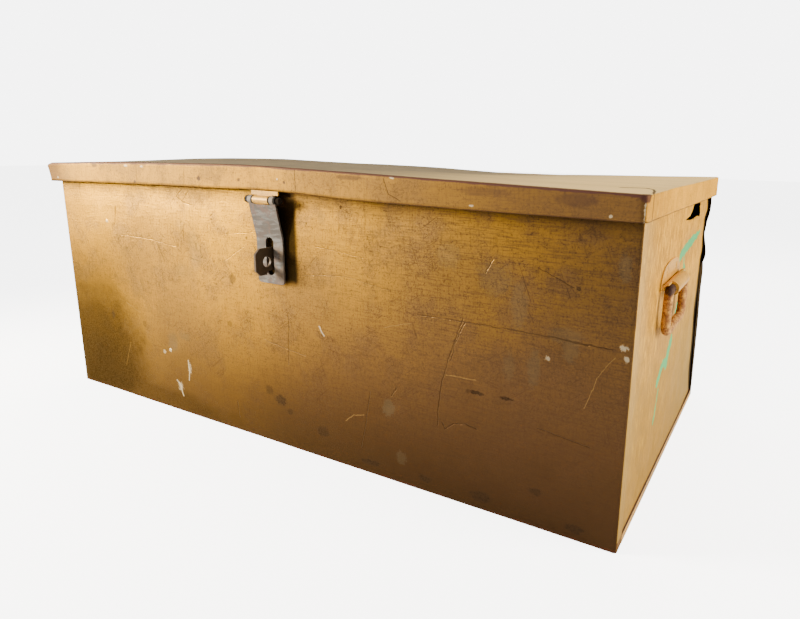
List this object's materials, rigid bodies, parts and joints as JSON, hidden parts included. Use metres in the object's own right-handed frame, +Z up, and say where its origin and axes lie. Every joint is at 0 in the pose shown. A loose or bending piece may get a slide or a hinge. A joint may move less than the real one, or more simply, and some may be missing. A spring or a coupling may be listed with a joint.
{
  "type": "tool chest",
  "caption": "Sheet-steel tool chest with an overhanging hinged lid, hasp and staple, hooded drop handles on the ends and a sliding tray inside.",
  "frame": {"origin": "centre of the case's underside, on the surface it stands on", "axes": "+X along the chest's length to its right end, +Y from the front to the hinged back, +Z up"},
  "size_m": [0.7876, 0.439, 0.3023],
  "materials": {
    "gold_paint": "worn brushed gold paint with scratches, chips and rust at the edges",
    "lid_paint": "faded dusty gold paint, worn to primer along its front edge",
    "primer": "matt red-oxide primer",
    "hasp_steel": "bare worn steel with pink-brown rust",
    "dark_steel": "dark tarnished steel",
    "bail_steel": "worn gold paint over rusty rod",
    "wire_steel": "dull zinc-plated wire",
    "tray_paint": "worn gold paint, scuffed inside"
  },
  "bodies": {
    "case": {"front_panel": "gold_paint", "back_panel": "gold_paint", "base_pan": "gold_paint", "end_panel_left": "gold_paint", "end_panel_right": "gold_paint", "hinge_left_case_leaf": "gold_paint", "hinge_right_case_leaf": "gold_paint", "hinge_left_pin": "dark_steel", "hinge_right_pin": "dark_steel", "hinge_case_rivets": "gold_paint", "staple": "dark_steel", "staple_rivets": "dark_steel", "handle_left_hood": "gold_paint", "handle_right_hood": "gold_paint", "handle_left_backing": "primer", "handle_right_backing": "primer", "handle_left_rivets": "gold_paint", "handle_right_rivets": "gold_paint", "tray_rail_left": "primer", "tray_rail_right": "primer"},
    "lid": {"lid_pan": "lid_paint", "hinge_left_lid_leaf": "gold_paint", "hinge_right_lid_leaf": "gold_paint", "hinge_lid_rivets": "gold_paint", "hasp_fixed_leaf": "gold_paint", "hasp_pin": "dark_steel"},
    "hasp": {"hasp_strap": "hasp_steel"},
    "handle_left": {"handle_left_bail": "bail_steel"},
    "handle_right": {"handle_right_bail": "bail_steel"},
    "tray": {"tray_pan": "tray_paint", "tray_divider_left": "tray_paint", "tray_divider_right": "tray_paint", "tray_clips_left": "wire_steel", "tray_clips_right": "wire_steel"},
    "tray_grip_left": {"tray_grip_left": "wire_steel"},
    "tray_grip_right": {"tray_grip_right": "wire_steel"}
  },
  "joints": [
    {"name": "lid_hinge", "type": "hinge", "parent": "case", "child": "lid", "pos_m": [0, 0.2072, 0.2743], "axis": [-1, 0, 0], "range_deg": [0, 180]},
    {"name": "hasp_hinge", "type": "hinge", "parent": "lid", "child": "hasp", "pos_m": [0, -0.2135, 0.2755], "axis": [-1, 0, 0], "range_deg": [0, 165]},
    {"name": "handle_right_swing", "type": "hinge", "parent": "case", "child": "handle_right", "pos_m": [0.387, -0.065, 0.21], "axis": [0, -1, 0], "range_deg": [0, 90]},
    {"name": "handle_left_swing", "type": "hinge", "parent": "case", "child": "handle_left", "pos_m": [-0.387, -0.065, 0.21], "axis": [0, 1, 0], "range_deg": [0, 90]},
    {"name": "tray_slide", "type": "slide", "parent": "case", "child": "tray", "axis": [0, 1, 0], "range_m": [0, 0.19]},
    {"name": "tray_grip_right_swing", "type": "hinge", "parent": "tray", "child": "tray_grip_right", "pos_m": [0.367, -0.101, 0.238], "axis": [0, 1, 0], "range_deg": [0, 170]},
    {"name": "tray_grip_left_swing", "type": "hinge", "parent": "tray", "child": "tray_grip_left", "pos_m": [-0.367, -0.101, 0.238], "axis": [0, -1, 0], "range_deg": [0, 170]}
  ]
}
